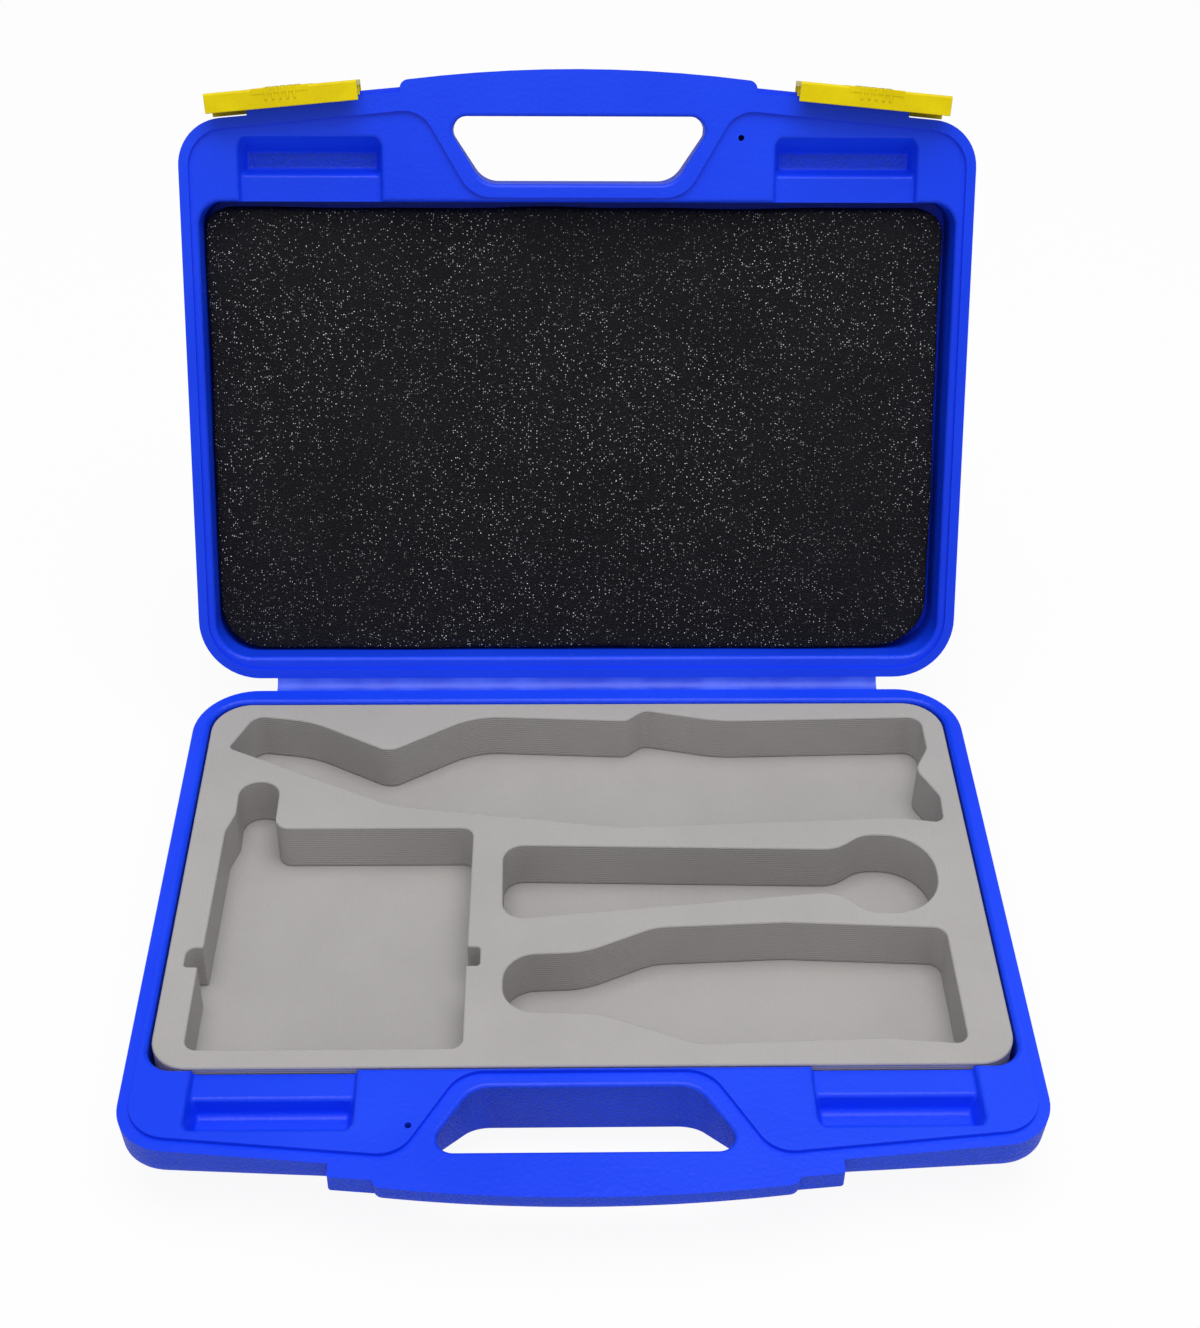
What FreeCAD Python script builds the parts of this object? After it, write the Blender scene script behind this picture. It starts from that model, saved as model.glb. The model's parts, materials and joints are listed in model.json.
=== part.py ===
import FreeCAD, Part
import math
import os
import re

import Sketcher
from FreeCAD import Vector

# A blow-moulded double-wall tool case, lid standing open on its living hinge.
# Reaches are measured to the front from the hinge axis; heights from the rim plane.

doc = FreeCAD.newDocument("HardToolCase")

# Driving dimensions, in millimetres and degrees.
SIZES = {
    "moulded halves": {
        "case_width": 360,          # over the rims, side to side
        "half_height": 38,          # rim plane to outer face, each half
        "wall": 2,                  # one skin of the double wall
        "rim_gap": 0.3,             # between the two rim planes when shut
        "hinge_gap": 3.6,           # hinge axis to each back rim edge
        "corner_reach": 263.6,      # where the front wall meets the side
        "front_reach": 273,         # where the front wall meets the handle zone
        "wall_draft": 3,            # lean of the outer walls
        "back_corner": 28.5,        # plan radius beside the hinge
        "front_corner": 21.5,       # plan radius at the front
        "belly_start": 10,          # depth where the front underside begins to slope
        "belly_angle": 32,          # slope of the front underside
        "belly_crease": 40,         # radius where slope and flat face meet
        "belly_edge": 12,           # rounding all along the outer face
        "panel_margin": 34,         # border round the sunk panel on the lid's outer face
        "panel_front": 212,         # reach of the sunk panel's front edge
        "panel_drop": 1,            # depth of the sunk panel, less than the wall
        "panel_corner": 16,
    },
    "handle": {
        "handle_width": 160,        # bulge of the front edge between the keepers
        "handle_reach": 287.1,      # front of the handle at the middle
        "handle_end_reach": 282,    # front of the handle at its ends
        "handle_thickness": 11.5,   # each half of the bar
        "handle_edge": 8,           # front rounding of the bar
        "handle_end_edge": 4,       # rounding of the bar's ends
        "handle_root": 250,         # reach where the bulge starts inside the half
        "grip_back_reach": 236.5,   # hand opening, edge towards the hinge
        "grip_front_reach": 266.4,  # hand opening, edge at the bar
        "grip_back_width": 87,
        "grip_front_width": 123.6,
        "grip_back_corner": 12,
        "grip_front_corner": 6.5,
        "grip_relief_width": 114,   # finger room under the bar and behind it
        "grip_scoop_angle": 50,     # slope of the finger room's roof behind the opening
        "grip_roll": 1.8,           # rounded rim of the hand opening
    },
    "rim and land": {
        "rim_band": 4.7,            # flat outer band of the rim
        "land_step": 1.7,           # tongue of the base, socket of the lid
        "land_play": 0.4,           # socket wider than tongue, all round
        "saddle_reach": 230.2,      # land edge behind the hand opening
        "saddle_outer": 71,         # half width where the land turns in
        "saddle_inner": 48.5,       # half width where it meets the saddle
        "saddle_outer_radius": 14,
        "saddle_inner_radius": 16,
    },
    "foam well": {
        "well_width": 344.6,
        "well_back_reach": 13.5,
        "well_front_reach": 228.3,
        "well_depth": 28,
        "well_draft": 1,
        "well_back_corner": 17,
        "well_front_corner": 11,
        "well_roll": 2.2,           # rounded rim of the well
        "roll_margin": 0.05,        # how far a cutter's flare passes the rounding
    },
    "finger notches": {
        "notch_inner": 88.4,        # nearer side from the middle, on the land
        "notch_outer": 154,
        "notch_reach": 257.6,       # front edge on the land
        "notch_shelf": 4,           # shelf below the land
        "notch_depth": 12,          # slot floor below the land
        "notch_ridge_reach": 240.2, # soft ridge between shelf and slot
        "notch_foot_back": 241.8,
        "notch_foot_front": 250,
        "notch_draft": 14,          # lean of the side walls
        "notch_corner": 6.5,        # plan radius of the front corners
        "notch_corner_room": 1.2,   # how far the corners' outline lies past the front edge
        "notch_ridge_radius": 2,
        "notch_foot_radius": 3,
        "notch_toe_radius": 4,
        "notch_skirt": 1.6,         # rounding along the side walls' foot
        "notch_roll": 2,            # rounded rim on the land
    },
    "vents": {
        "vent_bore": 2.7,           # blow needle hole through the inner skin
        "vent_depth": 5,
        "base_vent_side": 67.7,
        "base_vent_reach": 255.7,
        "lid_vent_side": 73.3,
        "lid_vent_reach": 257.2,
    },
    "keepers and rails": {
        "keeper_end": 97,           # outer end of the base's keeper block
        "keeper_proud": 6,          # block front beyond the recessed front wall
        "keeper_height": 8,
        "keeper_root": 6,           # how far a block reaches back into the wall
        "keeper_edge": 1.6,
        "rail_end": 148.5,          # outer end of the lid's rail
        "rebate_width": 2,          # strip along the rail's edge at the rim plane
        "rebate_depth": 1.6,
        "groove_offset": 1,         # groove for the latch's lip
        "groove_width": 2.4,
        "groove_depth": 2,
        "groove_end": 146.3,        # closed outer end, where the latch's lip stops
    },
    "latches": {
        "latch_length": 67.8,
        "latch_gap": 0.4,           # latch end to keeper end, latch slid out
        "latch_reach": 11,          # web's outer face beyond the recessed wall
        "latch_web": 2.4,
        "latch_flange": 2,
        "latch_play": 0.35,         # around the keeper and the rail
        "latch_toe": 2.3,           # tip of the keeper flange from the wall
        "latch_heel": 0.4,          # tip of the rail flange from the wall
        "latch_lip": 1.6,           # thickness of the hooked lip
        "latch_lip_drop": 1.8,
        "latch_tongue": 0.7,        # thin rib that runs in the rebate
        "latch_stop_gap": 0.5,      # lip's end to the closed end of the groove, latch slid out
        "latch_edge": 1.2,
        "rib_count": 5,
        "rib_width": 1,
        "rib_pitch": 3.2,
        "rib_proud": 0.45,
        "rib_wrap": 5,              # how far a rib runs over each flange
        "pad_length": 25,           # raised thumb pad under the ribs
        "pad_proud": 0.2,
    },
    "living hinge": {
        "hinge_length": 288,
        "hinge_web": 0.8,
    },
    "foam tray": {
        "tray_width": 342.6,
        "tray_back_reach": 14.4,
        "tray_front_reach": 227.6,
        "tray_proud": 1,            # foam above the base's rim plane
        "tray_foam": 24.3,          # die-cut layer, so the pockets' depth
        "tray_back_corner": 18,
        "tray_front_corner": 15,
        "tray_play": 0.1,           # under the tray's backing sheet
    },
    "lid pad": {
        "pad_left": 171.4,
        "pad_right": 168.6,
        "pad_back_reach": 14.4,
        "pad_front_reach": 224.4,
        "pad_thickness": 15,
        "pad_back_corner": 19,
        "pad_front_corner": 12,
        "glue_thickness": 0.5,
        "glue_margin": 8,
    },
    "pose and cutting": {
        "open_angle": 113.8,        # lid as it stands
        "overrun": 5,               # how far a cutter passes through
    },
}

# Die-cut pockets as corners: side, reach and corner radius. Sides and radii are shares
# of the tray's width, reaches are shares of its length from the hinge side.
LONG_POCKET_SHARES = [
    (-0.472, 0.139, 0.0073), (-0.443, 0.037, 0.0204), (-0.365, 0.056, 0.1459),
    (-0.256, 0.153, 0.0292), (-0.142, 0.040, 0.1168), (0.066, 0.056, 0.0175),
    (0.091, 0.022, 0.0175), (0.193, 0.058, 0.2043), (0.471, 0.047, 0.0175),
    (0.471, 0.148, 0.0146), (0.450, 0.213, 0.0234), (0.475, 0.295, 0.0263),
    (0.473, 0.374, 0.0117), (0.409, 0.359, 0.1751), (0.053, 0.385, 0.1313),
    (-0.245, 0.319, 0.0730),
]
SQUARE_POCKET_SHARES = [
    (-0.448, 0.246, 0.0248), (-0.395, 0.246, 0.0248), (-0.395, 0.385, 0.0190),
    (-0.138, 0.385, 0.0146), (-0.140, 0.709, 0), (-0.124, 0.709, 0.0047),
    (-0.124, 0.757, 0.0047), (-0.141, 0.757, 0), (-0.141, 0.957, 0.0146),
    (-0.462, 0.957, 0.0146), (-0.462, 0.757, 0), (-0.479, 0.757, 0.0047),
    (-0.479, 0.708, 0.0117), (-0.459, 0.708, 0), (-0.457, 0.391, 0.0234),
    (-0.447, 0.340, 0.0234),
]
SLENDER_POCKET_SHARES = [
    (-0.099, 0.435, 0.0263), (0.328, 0.451, 0.0525), (0.363, 0.410, 0.0409),
    (0.450, 0.411, 0.0622), (0.450, 0.625, 0.0622), (0.356, 0.626, 0.0409),
    (0.320, 0.568, 0.0467), (-0.098, 0.639, 0.0248),
]
BOTTLE_POCKET_SHARES = [
    (-0.096, 0.731, 0.0409), (0.003, 0.725, 0.1168), (0.089, 0.662, 0.0730),
    (0.251, 0.650, 0), (0.447, 0.666, 0.0161), (0.447, 0.953, 0.0146),
    (0.350, 0.938, 0.2335), (0.131, 0.950, 0.0876), (0.018, 0.876, 0.1168),
    (-0.096, 0.870, 0.0379),
]


def makeSheet():
    sheet = doc.addObject("Spreadsheet::Sheet", "Sizes")
    row = 1
    for group, entries in SIZES.items():
        sheet.set(f"A{row}", group)
        row += 1
        for alias, number in entries.items():
            sheet.set(f"A{row}", alias)
            sheet.set(f"B{row}", str(number))
            sheet.setAlias(f"B{row}", alias)
            row += 1
    doc.recompute()
    return sheet


sheet = makeSheet()
ALIASES = {alias for entries in SIZES.values() for alias in entries}


def cell(formula):
    """A formula in size names, turned into references to the sheet."""
    return re.sub(r"[a-z]\w+", lambda word: "Sizes." + word[0] if word[0] in ALIASES else word[0],
                  str(formula))


def bind(item, **formulas):
    for name, formula in formulas.items():
        item.setExpression(name, cell(formula))


def originPlane(body, role):
    return [item for item in body.Origin.OriginFeatures if item.Role == role][0]


def outlineSketch(body, label, corners, role, offset):
    """Closed outline of straight sides; each corner is (across, along, radius formula)."""
    sketch = body.newObject("Sketcher::SketchObject", label + "_outline")
    sketch.AttachmentSupport = [(originPlane(body, role), "")]
    sketch.MapMode = "FlatFace"
    sketch.setExpression("AttachmentOffset.Base.z", cell(offset))
    count = len(corners)
    turns = [2 * math.pi * number / count for number in range(count)]
    start = [Vector(math.cos(turn), math.sin(turn), 0) for turn in turns]
    for number in range(count):
        sketch.addGeometry(Part.LineSegment(start[number], start[(number + 1) % count]))
    for number in range(count):
        sketch.addConstraint(Sketcher.Constraint("Coincident", number, 2, (number + 1) % count, 1))
    for number, corner in enumerate(corners):
        for kind, formula, place in (("DistanceX", corner[0], start[number].x),
                                     ("DistanceY", corner[1], start[number].y)):
            index = sketch.addConstraint(Sketcher.Constraint(kind, -1, 1, number, 1, place))
            sketch.setExpression(f"Constraints[{index}]", cell(formula))
    doc.recompute()
    return sketch


def touches(edge, point, reach):
    return edge.distToShape(Part.Vertex(point))[0] < reach


def cornerEdges(shape, sketch, numbers):
    """Names of the edges that rise from these corners of the sketch."""
    normal = sketch.Placement.Rotation.multVec(Vector(0, 0, 1))
    near = shape.BoundBox.DiagonalLength * 1e-5
    names = []
    for number in numbers:
        point = sketch.Placement.multVec(sketch.Geometry[number].StartPoint)
        for index, edge in enumerate(shape.Edges, 1):
            rises = abs(edge.tangentAt(edge.FirstParameter).dot(normal)) > 0.5
            if rises and touches(edge, point, near):
                names.append(f"Edge{index}")
    return names


def rounding(body, label, feature, names, radius):
    fillet = body.newObject("PartDesign::Fillet", label)
    fillet.Base = (feature, names)
    bind(fillet, Radius=radius)
    body.Tip = fillet
    doc.recompute()
    return fillet


def roundCorners(body, label, pad, sketch, corners):
    """Round each corner of a pad with its own radius, one feature per radius."""
    last = pad
    radii = []
    for corner in corners:
        if len(corner) > 2 and corner[2] not in radii:
            radii.append(corner[2])
    for step, radius in enumerate(radii, 1):
        numbers = [n for n, corner in enumerate(corners) if len(corner) > 2 and corner[2] == radius]
        names = cornerEdges(last.Shape, sketch, numbers)
        last = rounding(body, f"{label}_corner_{step}", last, names, radius)
    return last


def prism(label, corners, top, depth, lean="0"):
    """A block under a plan outline, from height top down by depth, leaning in by lean."""
    body = doc.addObject("PartDesign::Body", label)
    sketch = outlineSketch(body, label, corners, "XY_Plane", top)
    pad = body.newObject("PartDesign::Pad", label + "_pad")
    pad.Profile = sketch
    pad.Reversed = True
    bind(pad, Length=depth, TaperAngle=f"-({lean})")
    doc.recompute()
    roundCorners(body, label, pad, sketch, corners)
    return body


def bar(label, corners, start, length):
    """A side profile (along, height) carried sideways from start over length."""
    body = doc.addObject("PartDesign::Body", label)
    sketch = outlineSketch(body, label, corners, "YZ_Plane", start)
    pad = body.newObject("PartDesign::Pad", label + "_pad")
    pad.Profile = sketch
    bind(pad, Length=length)
    doc.recompute()
    roundCorners(body, label, pad, sketch, corners)
    return body


def fused(label, shapes):
    item = doc.addObject("Part::MultiFuse", label)
    item.Shapes = shapes
    return item


def cut(label, base, tool):
    item = doc.addObject("Part::Cut", label)
    item.Base = base
    item.Tool = tool
    return item


def mirrored(corners):
    """Both sides of an outline given from the middle outwards on one side."""
    other = [(f"-({corner[0]})",) + tuple(corner[1:]) for corner in reversed(corners)]
    return list(corners) + other


def frontLine(side, out):
    """Reach of the sloping front wall at a distance from the middle, plus out."""
    slope = "(front_reach - corner_reach) / (case_width / 2 - handle_width / 2)"
    return f"(front_reach - (({side}) - handle_width / 2) * {slope} + ({out}))"


def tub(label, skin, top):
    """Outer form of one half; skin moves its walls inwards for the hollow."""
    half = f"case_width / 2 - {skin}"
    corners = mirrored([
        ("handle_width / 2", f"-(front_reach - {skin})"),
        (half, f"-(corner_reach - {skin})", f"front_corner - {skin}"),
        (half, f"-(hinge_gap + {skin})", f"back_corner - {skin}"),
    ])
    body = prism(label, corners, f"-({top})", f"half_height - {skin} - ({top})", "wall_draft")
    shift = f"{skin} / cos(belly_angle)"
    far = "overrun"
    sketch = outlineSketch(body, label + "_belly", [
        (f"-(front_reach + {far})", f"{shift} - belly_start + {far} * tan(belly_angle)"),
        (f"-(front_reach + {far})", f"-(half_height + {far})"),
        (f"-(front_reach - (half_height + {far} - belly_start + {shift}) / tan(belly_angle))",
         f"-(half_height + {far})"),
    ], "YZ_Plane", "0")
    belly = body.newObject("PartDesign::Pocket", label + "_belly")
    belly.Profile = sketch
    belly.SideType = "Symmetric"
    bind(belly, Length="case_width + overrun")
    body.Tip = belly
    doc.recompute()
    names = lowestCrossEdges(belly.Shape)[:1]
    last = rounding(body, label + "_crease", belly, names, f"belly_crease + {skin}")
    names = lowestCrossEdges(last.Shape)[-1:]
    rounding(body, label + "_edge", last, names, f"belly_edge - {skin}")
    return body


def lowestCrossEdges(shape):
    """Straight edges that run from side to side along the flat outer face, front one first."""
    low = min(vertex.Z for vertex in shape.Vertexes)
    near = shape.BoundBox.DiagonalLength * 1e-5
    found = []
    for index, edge in enumerate(shape.Edges, 1):
        straight = abs(edge.tangentAt(edge.FirstParameter).x) > 1 - 1e-6
        if straight and max(vertex.Z for vertex in edge.Vertexes) - low < near:
            found.append((edge.Vertexes[0].Y, f"Edge{index}"))
    return [name for place, name in sorted(found)]


def wellOutline(skin):
    half = f"well_width / 2 + {skin}"
    return mirrored([
        (half, f"-(well_front_reach + {skin})", f"well_front_corner + {skin}"),
        (half, f"-(well_back_reach - ({skin}))", f"well_back_corner + {skin}"),
    ])


def well(label, skin, top):
    return prism(label, wellOutline(skin), top, f"well_depth + {skin} + ({top})", "well_draft")


def notch(label, side, skin, level):
    """Shelf beside the well, a soft ridge and the deeper finger slot, below a land at this level."""
    shelf, floor = f"{level} - notch_shelf - {skin}", f"{level} - notch_depth - {skin}"
    corners = [
        ("-(well_front_reach - overrun)", level),
        ("-(well_front_reach - overrun)", shelf),
        (f"-(notch_ridge_reach - {skin})", shelf, "notch_ridge_radius"),
        (f"-(notch_foot_back - {skin})", floor, "notch_foot_radius"),
        (f"-(notch_foot_front + {skin})", floor, "notch_toe_radius"),
        (f"-(notch_reach + {skin})", level),
    ]
    start = f"notch_inner - overrun - {skin}" if side > 0 else f"-(notch_outer + overrun + {skin})"
    return bar(label, corners, start, f"notch_outer - notch_inner + 2 * overrun + 2 * {skin}")


def notchPlan(label, side, skin, level):
    """Plan outline with leaning side walls that rounds the notch's front corners."""
    near = f"{side} * (notch_inner - {skin})"
    far = f"{side} * (notch_outer + {skin})"
    front = f"-(notch_reach + notch_corner_room + {skin})"
    back = "-(well_front_reach - 2 * overrun)"
    corners = [(near, back), (near, front, "notch_corner"), (far, front, "notch_corner"), (far, back)]
    return prism(label, corners, f"{level} + wall / 2", "half_height", "notch_draft")


def notchTool(label, side, skin, level):
    item = doc.addObject("Part::Common", label)
    item.Base = notch(label + "_profile", side, skin, level)
    item.Tool = notchPlan(label + "_plan", side, skin, level)
    return item


def sideChains(shape):
    """Names of the edges where a notch's leaning walls meet its shelf, slot and front."""
    names = []
    for index, edge in enumerate(shape.Edges, 1):
        slants = []
        kept = True
        for face in shape.ancestorsOfType(edge, Part.Face):
            low, high, left, right = face.ParameterRange
            normal = face.normalAt((low + high) / 2, (left + right) / 2)
            slants.append(abs(normal.x) > 0.01)
            kept = kept and normal.z < 0.99 and normal.y < 0.99
        if kept and sorted(slants) == [False, True]:
            names.append(f"Edge{index}")
    return names


def rolledRim(body, label, corners, level, radius):
    """Widen a cutter above a plane and round the step, so that the rim it cuts rolls over."""
    sketch = outlineSketch(body, label + "_flare", corners, "XY_Plane", level)
    pad = body.newObject("PartDesign::Pad", label + "_flare")
    pad.Profile = sketch
    bind(pad, Length="overrun")
    body.Tip = pad
    doc.recompute()
    last = roundCorners(body, label + "_flare", pad, sketch, corners)
    height = sketch.Placement.Base.z
    near = last.Shape.BoundBox.DiagonalLength * 1e-5
    names = []
    for index, edge in enumerate(last.Shape.Edges, 1):
        inPlane = all(abs(vertex.Z - height) < near for vertex in edge.Vertexes)
        faces = last.Shape.ancestorsOfType(edge, Part.Face)
        below = any(vertex.Z < height - near for face in faces for vertex in face.Vertexes)
        if inPlane and below:
            names.append(f"Edge{index}")
    rounding(body, label + "_roll", last, names, radius)
    return body


def notchCutter(label, side, level):
    """Finger notch with rounded rim, corners and foot."""
    body = doc.addObject("PartDesign::Body", label)
    body.BaseFeature = notchTool(label + "_block", side, "0", level)
    doc.recompute()
    first = body.Tip
    rounding(body, label + "_skirt", first, sideChains(first.Shape), "notch_skirt")
    margin = "notch_roll + roll_margin"
    back = "-(well_front_reach - overrun)"
    near, far = f"{side} * (notch_inner - {margin})", f"{side} * (notch_outer + {margin})"
    front = f"-(notch_reach + {margin})"
    corners = [(near, back), (near, front, "notch_corner"), (far, front, "notch_corner"), (far, back)]
    return rolledRim(body, label, corners, level, "notch_roll")


def openingOutline(out):
    """Hand opening in plan, its leaning sides moved out evenly."""
    lean = "atan((grip_front_width - grip_back_width) / 2 / (grip_front_reach - grip_back_reach))"
    front = f"({out}) * (1 + sin({lean})) / cos({lean})"
    back = f"({out}) * (1 - sin({lean})) / cos({lean})"
    return mirrored([
        (f"grip_front_width / 2 + {front}", f"-(grip_front_reach + {out})",
         f"grip_front_corner + {out}"),
        (f"grip_back_width / 2 + {back}", f"-(grip_back_reach - ({out}))",
         f"grip_back_corner + {out}"),
    ])


def opening(label, skin, top):
    """Hand opening, right through the half."""
    return prism(label, openingOutline(skin), top, "half_height + 2 * overrun")


def gripRelief(label, skin):
    """Finger room under the bar, its roof first parallel to the belly and then steeper."""
    start = "(grip_front_reach - grip_front_corner)"
    middle = "((belly_angle + grip_scoop_angle) / 2)"
    turn = "((grip_scoop_angle - belly_angle) / 2)"
    edge = f"(grip_back_reach - {skin} * sin({middle}) / cos({turn}))"
    fall = f"({start} - grip_back_reach) * tan(belly_angle)"
    depth = f"(handle_thickness + {fall} - {skin} * cos({middle}) / cos({turn}))"
    low = "(half_height + overrun)"
    corners = [
        (f"-({start} - {skin} * tan(belly_angle / 2))", f"-(handle_thickness - {skin})"),
        ("-(handle_reach + overrun)", f"-(handle_thickness - {skin})"),
        ("-(handle_reach + overrun)", f"-{low}"),
        (f"-({edge} - ({low} - {depth}) / tan(grip_scoop_angle))", f"-{low}"),
        (f"-{edge}", f"-{depth}"),
    ]
    return bar(label, corners, f"-(grip_relief_width / 2 + {skin})",
               f"grip_relief_width + 2 * {skin}")


def bulge(label, skin, top):
    """The handle's half, a bar with a bowed front between the two keepers."""
    body = doc.addObject("PartDesign::Body", label)
    half = f"(handle_width / 2 - {skin})"
    rise = "(handle_reach - handle_end_reach)"
    bow = f"(({half} * {half} + {rise} * {rise}) / (2 * {rise}))"
    sketch = body.newObject("Sketcher::SketchObject", label + "_outline")
    sketch.AttachmentSupport = [(originPlane(body, "XY_Plane"), "")]
    sketch.MapMode = "FlatFace"
    sketch.setExpression("AttachmentOffset.Base.z", cell(f"-({top})"))
    side = sheet.handle_width / 2
    places = [Vector(-side, -sheet.handle_end_reach, 0), Vector(-side, -sheet.handle_root, 0),
              Vector(side, -sheet.handle_root, 0), Vector(side, -sheet.handle_end_reach, 0)]
    sketch.addGeometry(Part.LineSegment(places[0], places[1]))
    sketch.addGeometry(Part.LineSegment(places[1], places[2]))
    sketch.addGeometry(Part.LineSegment(places[2], places[3]))
    sketch.addGeometry(Part.Arc(places[0], Vector(0, -sheet.handle_reach, 0), places[3]))
    link = Sketcher.Constraint
    sketch.addConstraint([
        link("Coincident", 0, 2, 1, 1),
        link("Coincident", 1, 2, 2, 1),
        link("Coincident", 3, 1, 0, 1),
        link("Coincident", 3, 2, 2, 2),
    ])
    front = f"-(handle_end_reach - {skin})"
    root = f"-(handle_root + {skin})"
    for line, end, place, across, along in ((0, 1, places[0], f"-{half}", front),
                                            (0, 2, places[1], f"-{half}", root),
                                            (2, 1, places[2], half, root),
                                            (2, 2, places[3], half, front)):
        index = sketch.addConstraint(link("DistanceX", -1, 1, line, end, place.x))
        sketch.setExpression(f"Constraints[{index}]", cell(across))
        index = sketch.addConstraint(link("DistanceY", -1, 1, line, end, place.y))
        sketch.setExpression(f"Constraints[{index}]", cell(along))
    index = sketch.addConstraint(link("Radius", 3, sketch.Geometry[3].Radius))
    sketch.setExpression(f"Constraints[{index}]", cell(bow))
    doc.recompute()
    pad = body.newObject("PartDesign::Pad", label + "_pad")
    pad.Profile = sketch
    pad.Reversed = True
    bind(pad, Length=f"handle_thickness - {skin} - ({top})")
    doc.recompute()
    low = min(vertex.Z for vertex in pad.Shape.Vertexes)
    near = pad.Shape.BoundBox.DiagonalLength * 1e-5
    names = []
    for index, edge in enumerate(pad.Shape.Edges, 1):
        bowed = edge.Curve.TypeId == "Part::GeomCircle"
        if bowed and max(vertex.Z for vertex in edge.Vertexes) - low < near:
            names.append(f"Edge{index}")
    room = f"(handle_thickness - {skin} - ({top})) * 0.9"
    last = rounding(body, label + "_front", pad, names, f"min(handle_edge - {skin}; {room})")
    names = cornerEdges(last.Shape, sketch, [0])
    point = sketch.Placement.multVec(sketch.Geometry[2].EndPoint)
    names += [f"Edge{index}" for index, edge in enumerate(last.Shape.Edges, 1)
              if abs(edge.tangentAt(edge.FirstParameter).z) > 0.5 and touches(edge, point, near)]
    rounding(body, label + "_ends", last, names, f"handle_end_edge - {skin}")
    return body


def land(label, play):
    """Inner land of the rim; play widens it for the lid's socket."""
    half = f"case_width / 2 - rim_band + {play}"
    back = f"-(hinge_gap + rim_band - {play})"
    return mirrored([
        (f"saddle_inner - {play} / 2", f"-(saddle_reach + {play})", "saddle_inner_radius"),
        (f"saddle_outer - {play} / 2", "-" + frontLine("saddle_outer", f"{play} - rim_band"),
         "saddle_outer_radius"),
        (half, f"-(corner_reach - rim_band + {play})", f"front_corner - rim_band + {play}"),
        (half, back, f"back_corner - rim_band + {play}"),
    ])


def block(label, side, end):
    """A keeper or rail beside the handle, following the sloping front wall."""
    near = "handle_width / 2 - handle_end_edge"
    corners = [
        (f"{side} * ({near})", "-" + frontLine(near, "-keeper_root")),
        (f"{side} * {end}", "-" + frontLine(end, "-keeper_root")),
        (f"{side} * {end}", "-" + frontLine(end, "keeper_proud"), "keeper_edge"),
        (f"{side} * ({near})", "-" + frontLine(near, "keeper_proud")),
    ]
    return prism(label, corners, "0", "keeper_height")


def strip(label, side, begin, end, inner, outer, top, depth):
    """A cutter along the rail, between two distances from the recessed wall."""
    corners = [(f"{side} * ({place})", "-" + frontLine(place, out))
               for place, out in ((begin, inner), (end, inner), (end, outer), (begin, outer))]
    return prism(label, corners, top, depth)


def vent(label, side, reach):
    """Blow needle hole through the inner skin."""
    item = doc.addObject("Part::Cylinder", label)
    bind(item, Radius="vent_bore / 2", Height="vent_depth + land_step + overrun")
    item.setExpression("Placement.Base.x", cell(f"-{side}"))
    item.setExpression("Placement.Base.y", cell(f"-{reach}"))
    item.setExpression("Placement.Base.z", cell("-vent_depth"))
    return item


def hollow(name, top, level):
    """Air space between the two skins of one half, under its rim."""
    form = fused(name + "_hollow_form", [
        tub(name + "_hollow_tub", "wall", top),
        bulge(name + "_hollow_bulge", "wall", top),
    ])
    taken = [
        well(name + "_hollow_well", "wall", "overrun"),
        opening(name + "_hollow_opening", "wall", "overrun"),
        gripRelief(name + "_hollow_relief", "wall"),
    ]
    for side, word in ((1, "right"), (-1, "left")):
        taken.append(notchTool(f"{name}_hollow_notch_{word}", side, "wall", level))
    return cut(name + "_hollow", form, fused(name + "_hollow_taken", taken))


def openings(name, level):
    """Well, hand opening and finger notches of one half; level is the height of its land."""
    deep = well(name + "_well_cutter", "0", level)
    rolledRim(deep, name + "_well", wellOutline("well_roll + roll_margin"), level, "well_roll")
    hand = opening(name + "_opening_cutter", "0", "0")
    rolledRim(hand, name + "_opening", openingOutline("grip_roll + roll_margin"), "0", "grip_roll")
    taken = [deep, hand, gripRelief(name + "_relief_cutter", "0")]
    for side, word in ((1, "right"), (-1, "left")):
        taken.append(notchCutter(f"{name}_notch_{word}", side, level))
    return taken


def outerPanel():
    """Shallow sunk panel in the lid's outer face."""
    half = "case_width / 2 - panel_margin"
    corners = mirrored([
        (half, "-panel_front", "panel_corner"),
        (half, "-(hinge_gap + panel_margin)", "panel_corner"),
    ])
    return prism("panel_cutter", corners, "panel_drop - half_height", "panel_drop + overrun")


# Form that both halves share, with the rim plane at height zero.
form = fused("half_form", [tub("half_tub", "0", "0"), bulge("half_bulge", "0", "0")])


def makeBase():
    tongue = prism("base_tongue", land("base_tongue", "0"), "land_step", "land_step + wall / 2")
    blocks = [block("base_keeper_right", 1, "keeper_end"), block("base_keeper_left", -1, "keeper_end")]
    solid = fused("base_solid", [form, tongue] + blocks)
    taken = openings("base", "land_step")
    taken += [vent("base_vent", "base_vent_side", "base_vent_reach"), hollow("base", "wall", "land_step")]
    return cut("base_shell", solid, fused("base_taken", taken))


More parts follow.
